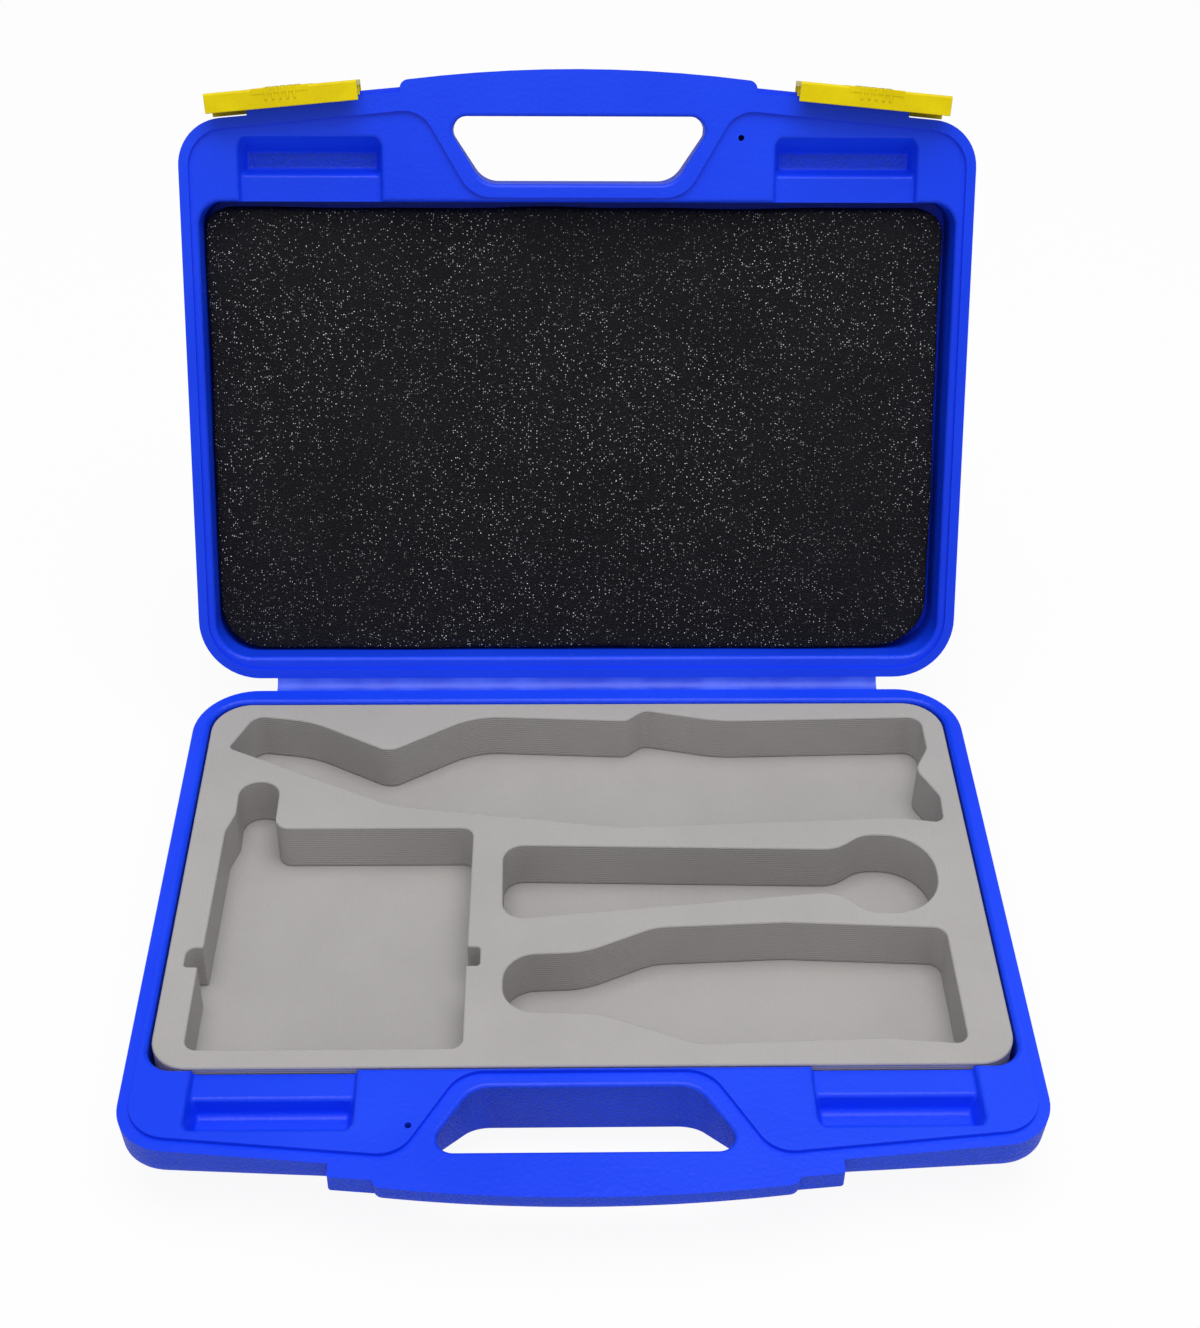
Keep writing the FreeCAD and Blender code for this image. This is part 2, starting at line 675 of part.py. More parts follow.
def makeLid():
    socket = prism("lid_socket", land("lid_socket", "land_play"), "overrun", "overrun + land_step")
    rails = []
    taken = openings("lid", "-land_step")
    taken += [socket, outerPanel(), vent("lid_vent", "lid_vent_side", "lid_vent_reach"),
              hollow("lid", "wall + land_step", "-land_step")]
    for side, word in ((1, "right"), (-1, "left")):
        rails.append(block(f"lid_rail_{word}", side, "rail_end"))
        taken.append(strip(f"lid_rebate_{word}", side, "handle_width / 2", "rail_end + overrun",
                           "keeper_proud - rebate_width", "keeper_proud + overrun",
                           "overrun", "overrun + rebate_depth"))
        taken.append(strip(f"lid_groove_{word}", side, "handle_width / 2", "groove_end",
                           "groove_offset", "groove_offset + groove_width",
                           "groove_depth - keeper_height", "groove_depth + overrun"))
    return cut("lid_shell", fused("lid_solid", [form] + rails), fused("lid_taken", taken))


def makeHinge():
    """Thin web bent round from rim to rim, tangent to both rim planes."""
    turn = "(180 - open_angle)"
    inner = f"hinge_gap / tan({turn} / 2) + rim_gap / 2"
    sleeves = []
    for label, radius in (("hinge_outer", f"{inner} + hinge_web"), ("hinge_inner", inner)):
        sleeve = doc.addObject("Part::Cylinder", label)
        bind(sleeve, Radius=radius, Height="hinge_length", Angle=turn)
        sleeves.append(sleeve)
    return cut("living_hinge", sleeves[0], sleeves[1])


def latchProfile():
    """Channel section: (distance from the wall, height above the parting plane)."""
    high = "(rim_gap / 2 + keeper_height + latch_play)"
    outer = f"({high} + latch_flange)"
    web = "(latch_reach - latch_web)"
    tongue = "(rim_gap / 2 + rebate_depth / 2 - latch_tongue / 2)"
    reach = "(keeper_proud - rebate_width + latch_play)"
    return [
        ("-latch_reach", f"-{outer}", "latch_edge"), ("-latch_reach", outer, "latch_edge"),
        ("-latch_heel", outer), ("-latch_heel", high),
        (f"-{web}", high), (f"-{web}", f"{tongue} + latch_tongue"),
        (f"-{reach}", f"{tongue} + latch_tongue"), (f"-{reach}", tongue),
        (f"-{web}", tongue), (f"-{web}", f"-{high}"),
        ("-latch_toe", f"-{high}"), ("-latch_toe", f"-{outer}"),
    ]


def lipProfile():
    """Lip on the channel's far flange, hooked into the rail's groove."""
    high = "(rim_gap / 2 + keeper_height + latch_play)"
    lip = "(groove_offset + (groove_width - latch_lip) / 2)"
    return [
        (f"-{lip}", f"{high} + latch_flange / 2"), (f"-{lip}", f"{high} - latch_lip_drop"),
        (f"-({lip} + latch_lip)", f"{high} - latch_lip_drop"),
        (f"-({lip} + latch_lip)", f"{high} + latch_flange / 2"),
    ]


def wrapProfile(proud, wrap):
    """Thin band round the outside of the channel, standing proud of it."""
    outer = "(rim_gap / 2 + keeper_height + latch_play + latch_flange"
    buried = "latch_web / 4"
    return [
        (f"-(latch_reach + {proud})", f"-{outer} + {proud})"),
        (f"-(latch_reach + {proud})", f"{outer} + {proud})"),
        (f"-(latch_reach - {wrap})", f"{outer} + {proud})"),
        (f"-(latch_reach - {wrap})", f"{outer} - {buried})"),
        (f"-(latch_reach - {buried})", f"{outer} - {buried})"),
        (f"-(latch_reach - {buried})", f"-{outer} - {buried})"),
        (f"-(latch_reach - {wrap})", f"-{outer} - {buried})"),
        (f"-(latch_reach - {wrap})", f"-{outer} + {proud})"),
    ]


def makeLatch(label, side):
    """Slide latch along the sloping rail; along is measured from the handle's end."""
    slope = "atan((front_reach - corner_reach) / (case_width / 2 - handle_width / 2))"
    near = f"((keeper_end + latch_gap - handle_width / 2) / cos({slope}))"
    far = f"({near} + latch_length)"
    start = near if side > 0 else f"-{far}"
    body = bar(label + "_channel", latchProfile(), start, "latch_length")
    end = f"((groove_end - latch_stop_gap - handle_width / 2) / cos({slope}))"
    lip = bar(label + "_lip", lipProfile(), near if side > 0 else f"-{end}", f"{end} - {near}")
    middle = f"({near} + latch_length / 2)"
    pieces = [body, lip]
    padStart = f"{side} * {middle} - pad_length / 2"
    pieces.append(bar(label + "_thumb_pad", wrapProfile("pad_proud", "latch_web"), padStart, "pad_length"))
    ribs = bar(label + "_rib", wrapProfile("rib_proud", "rib_wrap"),
               f"{side} * {middle} - rib_width / 2 - (rib_count - 1) * rib_pitch / 2", "rib_width")
    row = ribs.newObject("PartDesign::LinearPattern", label + "_rib_row")
    row.Originals = [ribs.Tip]
    row.Direction = (originPlane(ribs, "X_Axis"), [""])
    bind(row, Length="(rib_count - 1) * rib_pitch", Occurrences="rib_count")
    ribs.Tip = row
    pieces.append(ribs)
    return fused(label, pieces)


def tray(label, skin, top, depth):
    half = f"tray_width / 2 - {skin}"
    corners = mirrored([
        (half, f"-(tray_front_reach - {skin})", "tray_front_corner"),
        (half, f"-(tray_back_reach + {skin})", "tray_back_corner"),
    ])
    return prism(label, corners, top, depth)


def pocket(label, shares):
    """One die-cut pocket, right through the foam layer."""
    corners = []
    for across, along, radius in shares:
        side = f"{across} * tray_width"
        reach = f"-(tray_back_reach + {along} * (tray_front_reach - tray_back_reach))"
        corner = (side, reach, f"{radius} * tray_width") if radius else (side, reach)
        corners.append(corner)
    return prism(label, corners, "tray_proud + overrun", "tray_foam + 2 * overrun")


def makeTray():
    foam = tray("foam_block", "0", "tray_proud", "tray_foam")
    pockets = fused("foam_pockets", [
        pocket("long_pocket", LONG_POCKET_SHARES),
        pocket("square_pocket", SQUARE_POCKET_SHARES),
        pocket("slender_pocket", SLENDER_POCKET_SHARES),
        pocket("bottle_pocket", BOTTLE_POCKET_SHARES),
    ])
    return cut("foam_tray", foam, pockets)


def makeTrayFloor():
    return tray("foam_tray_floor", "0", "tray_proud - tray_foam",
                "well_depth + tray_proud - tray_foam - tray_play")


def padOutline(margin):
    front, back = f"-(pad_front_reach - {margin})", f"-(pad_back_reach + {margin})"
    left, right = f"pad_left - {margin}", f"-(pad_right - {margin})"
    return [
        (left, front, "pad_front_corner"), (left, back, "pad_back_corner"),
        (right, back, "pad_back_corner"), (right, front, "pad_front_corner"),
    ]


def makeLidPad():
    return prism("lid_foam_pad", padOutline("0"), "glue_thickness + pad_thickness - well_depth",
                 "pad_thickness")


def makeLidGlue():
    return prism("lid_pad_adhesive", padOutline("glue_margin"), "glue_thickness - well_depth",
                 "glue_thickness")


# Places: the base stands on its outer face, centred; the lid hangs on the hinge axis.
HINGE_AXIS = ("create(<<vector>>; 0; (handle_reach - hinge_gap) / 2 + hinge_gap;"
              " half_height + rim_gap / 2)")
BASE_FRAME = ("create(<<placement>>; create(<<vector>>; 0; (handle_reach - hinge_gap) / 2 + hinge_gap;"
              " half_height); create(<<rotation>>; create(<<vector>>; 0; 0; 1); 0))")
SHUT_LID = (f"create(<<placement>>; {HINGE_AXIS};"
            " create(<<rotation>>; create(<<vector>>; 1; 0; 0); -open_angle))")
TURNED_OVER = ("create(<<placement>>; create(<<vector>>; 0; 0; rim_gap / 2);"
               " create(<<rotation>>; create(<<vector>>; 0; 1; 0); 180))")
LID_FRAME = f"{SHUT_LID} * {TURNED_OVER}"
SLOPE = "atan((front_reach - corner_reach) / (case_width / 2 - handle_width / 2))"


def railFrame(side):
    """Frame of a latch: along the recessed wall from the handle's end."""
    return (f"{SHUT_LID} * create(<<placement>>; create(<<vector>>; {side} * handle_width / 2;"
            f" -front_reach; 0); create(<<rotation>>; create(<<vector>>; 0; 0; 1); {side} * {SLOPE}))")


HINGE_FRAME = ("create(<<placement>>; create(<<vector>>; -hinge_length / 2; (handle_reach - hinge_gap) / 2;"
               " half_height + rim_gap / 2 + hinge_gap / tan((180 - open_angle) / 2));"
               " create(<<rotation>>; create(<<vector>>; 0; 1; 0); 90))")

subParts = {
    "base_shell": (makeBase(), BASE_FRAME),
    "foam_tray_floor": (makeTrayFloor(), BASE_FRAME),
    "foam_tray": (makeTray(), BASE_FRAME),
    "living_hinge": (makeHinge(), HINGE_FRAME),
    "lid_shell": (makeLid(), LID_FRAME),
    "lid_pad_adhesive": (makeLidGlue(), LID_FRAME),
    "lid_foam_pad": (makeLidPad(), LID_FRAME),
    "latch_right": (makeLatch("latch_right", 1), railFrame(1)),
    "latch_left": (makeLatch("latch_left", -1), railFrame(-1)),
}
for name, (item, frame) in subParts.items():
    item.Label = name
    item.setExpression("Placement", cell(frame))
doc.recompute()

for item in doc.Objects:
    if {"Invalid", "Error"} & set(item.State):
        raise RuntimeError(f"{item.Label} did not compute: {item.getStatusString()}")

os.makedirs("parts", exist_ok=True)
for name, (item, frame) in subParts.items():
    shape = item.Shape
    if shape.isNull() or not shape.isValid():
        raise RuntimeError(f"{name} has no valid shape")
    print(f"{name}: {len(shape.Solids)} solid, {shape.Volume / 1000:.1f} cm3")
    shape.exportStep(os.path.join("parts", name + ".step"))
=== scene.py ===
import bpy
import bmesh
import json
import math
import numpy as np
from mathutils.bvhtree import BVHTree
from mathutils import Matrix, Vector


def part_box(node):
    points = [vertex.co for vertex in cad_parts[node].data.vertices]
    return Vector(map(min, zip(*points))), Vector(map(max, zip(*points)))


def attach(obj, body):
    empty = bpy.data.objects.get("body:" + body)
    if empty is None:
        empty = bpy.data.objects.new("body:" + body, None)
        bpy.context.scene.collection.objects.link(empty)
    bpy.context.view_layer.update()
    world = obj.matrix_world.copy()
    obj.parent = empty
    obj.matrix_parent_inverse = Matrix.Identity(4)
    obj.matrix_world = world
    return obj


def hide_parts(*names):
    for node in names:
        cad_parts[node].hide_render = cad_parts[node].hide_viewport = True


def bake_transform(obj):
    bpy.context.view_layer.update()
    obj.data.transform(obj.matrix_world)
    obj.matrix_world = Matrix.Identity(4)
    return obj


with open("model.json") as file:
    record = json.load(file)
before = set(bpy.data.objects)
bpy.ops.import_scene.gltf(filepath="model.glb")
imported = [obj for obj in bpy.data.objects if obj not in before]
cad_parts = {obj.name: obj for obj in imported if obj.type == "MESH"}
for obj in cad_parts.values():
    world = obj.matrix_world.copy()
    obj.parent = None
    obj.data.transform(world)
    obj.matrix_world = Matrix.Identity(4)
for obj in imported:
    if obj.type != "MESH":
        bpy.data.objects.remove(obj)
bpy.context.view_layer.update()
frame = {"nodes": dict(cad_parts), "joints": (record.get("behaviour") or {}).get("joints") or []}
nodes = frame["nodes"]
print("stage: frame loaded,", len(nodes), "nodes")

# hinge line and lean of the lid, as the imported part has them
hingeJoint = [joint for joint in frame["joints"] if joint["name"] == "lid_hinge"][0]
hingeY, hingeZ = hingeJoint["pos_m"][1], hingeJoint["pos_m"][2]
openAngle = math.radians(-hingeJoint["range_deg"][0])


def toBaseHalf(points):
    # side, reach from the hinge, height over the rim plane
    return np.stack([points[:, 0], hingeY - points[:, 1], points[:, 2] - hingeZ], 1)


def toLidHalf(points):
    # the same three numbers for the lid: turned shut about the hinge, height grows out of its rim
    y, z = points[:, 1] - hingeY, points[:, 2] - hingeZ
    c, s = math.cos(openAngle), math.sin(openAngle)
    return np.stack([points[:, 0], s * z - c * y, -(s * y + c * z)], 1)


def fromLidHalf(side, reach, height):
    # back from lid numbers to the open lid
    c, s = math.cos(openAngle), math.sin(openAngle)
    y = -c * reach - s * height
    z = s * reach - c * height
    return np.stack([side, hingeY + y, hingeZ + z], -1)


def link(piece):
    bpy.context.scene.collection.objects.link(piece)
    return piece


def meshFrom(name, points, faces):
    mesh = bpy.data.meshes.new(name)
    mesh.from_pydata(points.tolist(), [], faces)
    mesh.update()
    return link(bpy.data.objects.new(name, mesh))


def faceOutward(mesh):
    work = bmesh.new()
    work.from_mesh(mesh)
    bmesh.ops.recalc_face_normals(work, faces=work.faces)
    work.to_mesh(mesh)
    work.free()


def smoothByAngle(mesh, degrees):
    # faces smooth, edges over the angle sharp
    work = bmesh.new()
    work.from_mesh(mesh)
    for face in work.faces:
        face.smooth = True
    for edge in work.edges:
        edge.smooth = edge.calc_face_angle(0) < math.radians(degrees)
    work.to_mesh(mesh)
    work.free()


meshing = {
    "weld": 2e-6, "fineWeld": 1e-6,              # corners closer than this are one
    "strayShare": 0.8, "strayPasses": 6,         # of the rounding's width
    "sharpFrom": 40, "normalWeight": 60,
}


def mergedCopy(node, name):
    # the CAD node's surface with its corners joined
    work = bmesh.new()
    work.from_mesh(nodes[node].data)
    bmesh.ops.remove_doubles(work, verts=work.verts, dist=meshing["weld"])
    mesh = bpy.data.meshes.new(name)
    work.to_mesh(mesh)
    work.free()
    return link(bpy.data.objects.new(name, mesh))


def applyModifiers(piece):
    graph = bpy.context.evaluated_depsgraph_get()
    done = bpy.data.meshes.new_from_object(piece.evaluated_get(graph), preserve_all_data_layers=True,
                                           depsgraph=graph)
    done.name = piece.data.name
    piece.modifiers.clear()
    piece.data = done


def hiddenEdges(work, doorway):
    # edges of the air space between the skins: what a walk from the top face reaches
    # without passing the vent's wall, turned round
    shut = {face for face in work.faces if all(doorway(corner.co) for corner in face.verts)}
    start = max(work.faces, key=lambda face: face.calc_area())
    seen, front = {start}, [start]
    while front:
        face = front.pop()
        for edge in face.edges:
            for other in edge.link_faces:
                if other not in seen and other not in shut:
                    seen.add(other)
                    front.append(other)
    return np.array([not any(face in seen for face in edge.link_faces) for edge in work.edges])


def pullStrays(work, tree, reach):
    # a corner that the rounding threw off the surface goes back among its neighbours
    strays = {corner for corner in work.verts if tree.find_nearest(corner.co)[3] > reach}
    for repeat in range(meshing["strayPasses"]):
        for corner in strays:
            near = [edge.other_vert(corner) for edge in corner.link_edges]
            calm = [other.co for other in near if other not in strays] or [other.co for other in near]
            corner.co = sum((place for place in calm[1:]), calm[0].copy()) / len(calm)
        strays = {corner for corner in strays if tree.find_nearest(corner.co)[3] > reach}
    return len(strays)


def thinEdges(work, least):
    # edges of faces too narrow to be rounded, such as the sides of low ribs
    thin = {face for face in work.faces
            if 2 * face.calc_area() < least * max(edge.calc_length() for edge in face.edges)}
    return np.array([any(face in thin for face in edge.link_faces) for edge in work.edges])


def soften(piece, width, angle, segments, least=0.0, doorway=None):
    # rounds every edge over the angle, except those of faces narrower than the least
    mesh = piece.data
    work = bmesh.new()
    work.from_mesh(mesh)
    tree = BVHTree.FromBMesh(work)
    turn = np.array([edge.calc_face_angle(0) for edge in work.edges])
    share = (turn > math.radians(angle)).astype(np.float32)
    if least > 0:
        share[thinEdges(work, least)] = 0
    if doorway is not None:
        share[hiddenEdges(work, doorway)] = 0
    work.free()
    weights = mesh.attributes.new("bevel_weight_edge", "FLOAT", "EDGE")
    weights.data.foreach_set("value", share)
    bevel = piece.modifiers.new("soften", "BEVEL")
    bevel.width = width
    bevel.segments = segments
    bevel.limit_method = "WEIGHT"
    bevel.use_clamp_overlap = False
    bevel.loop_slide = False
    applyModifiers(piece)
    work = bmesh.new()
    work.from_mesh(piece.data)
    left = pullStrays(work, tree, width * meshing["strayShare"])
    bmesh.ops.remove_doubles(work, verts=work.verts, dist=meshing["fineWeld"])
    work.to_mesh(piece.data)
    work.free()
    print("softened", piece.name, "strays left:", left)


def weightNormals(piece):
    # big flat faces keep their own normal, so the rounded edges shade evenly
    smoothByAngle(piece.data, meshing["sharpFrom"])
    normals = piece.modifiers.new("normals", "WEIGHTED_NORMAL")
    normals.keep_sharp = True
    normals.weight = meshing["normalWeight"]


def faceData(mesh):
    count = len(mesh.polygons)
    middles = np.zeros(count * 3)
    normals = np.zeros(count * 3)
    mesh.polygons.foreach_get("center", middles)
    mesh.polygons.foreach_get("normal", normals)
    return middles.reshape(-1, 3), normals.reshape(-1, 3)


# shader groups shared by several finishes

def newGroup(name, inputs, outputs):
    # every group takes a place on the piece first
    group = bpy.data.node_groups.new(name, "ShaderNodeTree")
    group.interface.new_socket(name="Place", in_out="INPUT", socket_type="NodeSocketVector")
    for label in inputs:
        group.interface.new_socket(name=label, in_out="INPUT", socket_type="NodeSocketFloat")
    for label in outputs:
        group.interface.new_socket(name=label, in_out="OUTPUT", socket_type="NodeSocketFloat")
    source, target = group.nodes.new("NodeGroupInput"), group.nodes.new("NodeGroupOutput")
    return group, source.outputs, target.inputs


def add(tree, kind, settings=None, inputs=None):
    node = tree.nodes.new(kind)
    for key, value in (settings or {}).items():
        setattr(node, key, value)
    for key, value in (inputs or {}).items():
        if isinstance(value, bpy.types.NodeSocket):
            tree.links.new(value, node.inputs[key])
        else:
            node.inputs[key].default_value = value
    return node


def calc(tree, operation, *values):
    return add(tree, "ShaderNodeMath", {"operation": operation}, dict(enumerate(values))).outputs[0]


def ramp(tree, value, low, high, outLow=0.0, outHigh=1.0):
    node = add(tree, "ShaderNodeMapRange", {"interpolation_type": "SMOOTHSTEP"},
               {"Value": value, "From Min": low, "From Max": high, "To Min": outLow, "To Max": outHigh})
    return node.outputs[0]


def noise(tree, place, size, detail, roughness=0.5):
    return add(tree, "ShaderNodeTexNoise", None,
               {"Vector": place, "Scale": size, "Detail": detail, "Roughness": roughness}).outputs[0]


skin = {"peelDetail": 2.0, "driftDetail": 3.0, "driftRoughness": 0.6}


def moulded():
    # fine orange-peel unevenness plus a slow drift, for plastic from a mould
    group, source, target = newGroup("mouldedSkin", ["Peel Size", "Drift Size"], ["Height", "Drift"])
    peel = noise(group, source["Place"], source["Peel Size"], skin["peelDetail"])
    drift = noise(group, source["Place"], source["Drift Size"], skin["driftDetail"], skin["driftRoughness"])
    group.links.new(peel, target["Height"])
    group.links.new(drift, target["Drift"])
    return group


spark = {
    "smoothness": 0.4, "cellShare": 0.9,
    "fineSize": 1.7, "fineShare": 0.6, "fineDetail": 2.0,      # finer pits, against the cells
    "pits": (0.42, 0.85),
}


def graining():
    # spark-eroded grain: small pits between flat islands, in two sizes
    group, source, target = newGroup("sparkGrain", ["Grain Size"], ["Height", "Pits"])
    cells = add(group, "ShaderNodeTexVoronoi", {"feature": "SMOOTH_F1"},
                {"Vector": source["Place"], "Scale": source["Grain Size"],
                 "Smoothness": spark["smoothness"]}).outputs["Distance"]
    fineSize = calc(group, "MULTIPLY", source["Grain Size"], spark["fineSize"])
    fine = noise(group, source["Place"], fineSize, spark["fineDetail"])
    height = calc(group, "ADD", calc(group, "MULTIPLY", cells, spark["cellShare"]),
                  calc(group, "MULTIPLY", fine, spark["fineShare"]))
    group.links.new(height, target["Height"])
    group.links.new(ramp(group, height, *spark["pits"]), target["Pits"])
    return group


bubbles = {
    "pits": (0.1, 0.75),
    "speckSize": 0.8, "speckCore": (0.12, 0.34),               # painted glints: white specks of light on the cell walls, against the cells
    "litPower": 3.0,
    "patchSize": 11.0, "patchDetail": 2.0, "patch": (0.36, 0.58), "patchLeast": 0.45,
}


def foamCells():
    # bubbles: round pits, and painted glints: a scatter of white specks where light would catch the cell
    # walls, brighter in patches
    group, source, target = newGroup("foamCells", ["Cell Size", "Sparkle"], ["Height", "Pits", "Sparks"])
    place, size = source["Place"], source["Cell Size"]
    cells = add(group, "ShaderNodeTexVoronoi", {"feature": "F1"}, {"Vector": place, "Scale": size})
    speckSize = calc(group, "MULTIPLY", size, bubbles["speckSize"])
    glintCells = add(group, "ShaderNodeTexVoronoi", {"feature": "F1"}, {"Vector": place, "Scale": speckSize})
    chance = add(group, "ShaderNodeSeparateColor", None, {"Color": glintCells.outputs["Color"]}).outputs[0]
    core = ramp(group, glintCells.outputs["Distance"], *bubbles["speckCore"], 1.0, 0.0)
    lit = calc(group, "POWER", ramp(group, chance, source["Sparkle"], 1.0), bubbles["litPower"])
    patch = noise(group, place, bubbles["patchSize"], bubbles["patchDetail"])
    patch = ramp(group, patch, *bubbles["patch"], bubbles["patchLeast"], 1.0)
    lit = calc(group, "MULTIPLY", lit, patch)
    group.links.new(cells.outputs["Distance"], target["Height"])
    group.links.new(ramp(group, cells.outputs["Distance"], *bubbles["pits"]), target["Pits"])
    group.links.new(calc(group, "MULTIPLY", core, lit), target["Sparks"])
    return group


mouldedGroup, grainGroup, foamGroup = moulded(), graining(), foamCells()


def startMaterial(name):
    material = bpy.data.materials.new(name)
    material.use_nodes = True
    tree = material.node_tree
    shader = tree.nodes["Principled BSDF"]
    place = add(tree, "ShaderNodeTexCoord").outputs["Object"]
    return material, tree, shader, place


def useGroup(tree, group, inputs):
    return add(tree, "ShaderNodeGroup", {"node_tree": group}, inputs)


mixSockets = {"factor": 0, "first": 6, "second": 7, "result": 2}


def mixColour(tree, factor, first, second):
    node = add(tree, "ShaderNodeMix", {"data_type": "RGBA"}, {mixSockets["factor"]: factor})
    for key, value in (("first", first), ("second", second)):
        socket = node.inputs[mixSockets[key]]
        if isinstance(value, bpy.types.NodeSocket):
            tree.links.new(value, socket)
        else:
            socket.default_value = (*value, 1.0)
    return node.outputs[mixSockets["result"]]


def bump(tree, height, distance, under=None):
    inputs = {"Height": height, "Distance": distance, "Strength": 1.0}
    if under is not None:
        inputs["Normal"] = under
    return add(tree, "ShaderNodeBump", None, inputs).outputs[0]


plastics = {"drift": (0.3, 0.7), "roughnessSpread": 0.05, "refraction": 1.5}


def plasticMaterial(name, look):
    material, tree, shader, place = startMaterial(name)
    surface = useGroup(tree, mouldedGroup, {"Place": place, "Peel Size": look["peelSize"],
                                            "Drift Size": look["driftSize"]})
    slow = surface.outputs["Drift"]
    colour = mixColour(tree, ramp(tree, slow, *plastics["drift"]), look["dark"], look["light"])
    rough = ramp(tree, slow, *plastics["drift"], look["roughness"] - plastics["roughnessSpread"],
                 look["roughness"] + plastics["roughnessSpread"])
    normal = bump(tree, surface.outputs["Height"], look["peelDepth"])
    if look.get("grainDepth"):
        grain = useGroup(tree, grainGroup, {"Place": place, "Grain Size": look["grainSize"]})
        colour = mixColour(tree, grain.outputs["Pits"], look["pitColour"], colour)
        normal = bump(tree, grain.outputs["Height"], look["grainDepth"], normal)
    shader.inputs["IOR"].default_value = plastics["refraction"]
    shader.inputs["Specular IOR Level"].default_value = look["gloss"]
    tree.links.new(colour, shader.inputs["Base Color"])
    tree.links.new(rough, shader.inputs["Roughness"])
    tree.links.new(normal, shader.inputs["Normal"])
    return material


foams = {
    "drift": (0.3, 0.7), "driftDetail": 4.0, "driftRoughness": 0.6,
    "wall": (0.2, 0.7),                          # how level a cut face lies
    "lineDistortion": 1.5, "lineDetail": 2.0,
}


def knifeLines(tree, place, size):
    # faint level lines that the knife leaves on a cut wall
    lines = add(tree, "ShaderNodeTexWave", {"bands_direction": "Z", "wave_type": "BANDS"},
                {"Vector": place, "Scale": size, "Distortion": foams["lineDistortion"],
                 "Detail": foams["lineDetail"]})
    normal = add(tree, "ShaderNodeNewGeometry").outputs["Normal"]
    upright = add(tree, "ShaderNodeSeparateXYZ", None, {"Vector": normal}).outputs[2]
    wall = ramp(tree, calc(tree, "ABSOLUTE", upright), *foams["wall"], 1.0, 0.0)
    return calc(tree, "MULTIPLY", lines.outputs[1], wall)


def foamMaterial(name, look):
    material, tree, shader, place = startMaterial(name)
    cells = useGroup(tree, foamGroup, {"Place": place, "Cell Size": look["cellSize"],
                                       "Sparkle": look["sparkleFrom"]})
    drift = noise(tree, place, look["driftSize"], foams["driftDetail"], foams["driftRoughness"])
    colour = mixColour(tree, ramp(tree, drift, *foams["drift"]), look["dark"], look["light"])
    pits = calc(tree, "MULTIPLY", cells.outputs["Pits"], look["pitShare"])
    colour = mixColour(tree, pits, colour, look["pitColour"])
    # painted glints: white mixed into the colour where the foam's cell walls would catch the light
    if look.get("sparkColour"):
        colour = mixColour(tree, cells.outputs["Sparks"], colour, look["sparkColour"])
    normal = bump(tree, cells.outputs["Height"], look["cellDepth"])
    if look.get("cutLines"):
        normal = bump(tree, knifeLines(tree, place, look["cutLines"]), look["cutDepth"], normal)
    shader.inputs["Specular IOR Level"].default_value = look["gloss"]
    shader.inputs["Roughness"].default_value = look["roughness"]
    tree.links.new(colour, shader.inputs["Base Color"])
    tree.links.new(normal, shader.inputs["Normal"])
    return material


# moulded halves

shells = {
    "round": 0.0006,          # edges that the mould leaves crisp
    "segments": 3,
    "edgeAngle": 42,
    "vents": {"base_shell": (-0.0677, 0.2557), "lid_shell": (0.0733, 0.2572)},
    "ventReach": 0.0015, "ventDepth": 0.02, "probe": 0.001,
    "smooth": {"dark": (0.005, 0.049, 0.85), "light": (0.008, 0.06, 0.91), "roughness": 0.33,
               "gloss": 0.22, "peelSize": 520.0, "peelDepth": 0.00016, "driftSize": 8.0},
    "grained": {"dark": (0.007, 0.05, 0.7), "light": (0.012, 0.064, 0.8), "roughness": 0.5, "gloss": 0.2,
                "peelSize": 260.0, "peelDepth": 0.0001, "driftSize": 10.0, "grainSize": 850.0,
                "grainDepth": 0.0005, "pitColour": (0.018, 0.07, 0.58)},
}


# where the grain starts and stops, in a half's own numbers
grainZones = {
    "upright": 0.6, "level": 0.9, "leaning": -0.02, "facingOut": -0.5,      # how level a face may lie
    "rimTop": 0.0002, "slotTop": -0.009, "openingTop": -0.001,
    "leaningTop": -0.012, "facingOutTop": -0.006,
    "side": 0.1776, "rear": 0.006, "draftTop": -0.002, "draft": 0.0032,
    "handleSide": 0.0803, "handleFront": 0.2795,
    "wallFrom": 0.08, "wallFront": 0.2712, "wallSlope": 0.094,              # falls back to the corners
    "frontCorner": {"side": 0.1585, "reach": 0.2418, "radius": 0.0203},
    "rearCorner": {"side": 0.1515, "reach": 0.0321, "radius": 0.0273},
    "opening": {"side": (0, 0.063), "reach": (0.2355, 0.2675)},
    "slot": {"side": (0.088, 0.155), "reach": (0.2405, 0.2525)},
    "well": {"side": (0, 0.1735), "reach": (0.0128, 0.2292), "floor": -0.0295},
}


def within(zone, side, reach):
    (sideLow, sideHigh), (reachLow, reachHigh) = zone["side"], zone["reach"]
    return (side >= sideLow) & (side < sideHigh) & (reach > reachLow) & (reach < reachHigh)


def pastCorner(corner, side, beyond, draft):
    # beyond is how far a face lies past the corner's centre, to the front or to the rear
    away = np.hypot(np.maximum(side - corner["side"], 0), np.maximum(beyond, 0))
    return (away > corner["radius"] - draft) & (beyond > 0)


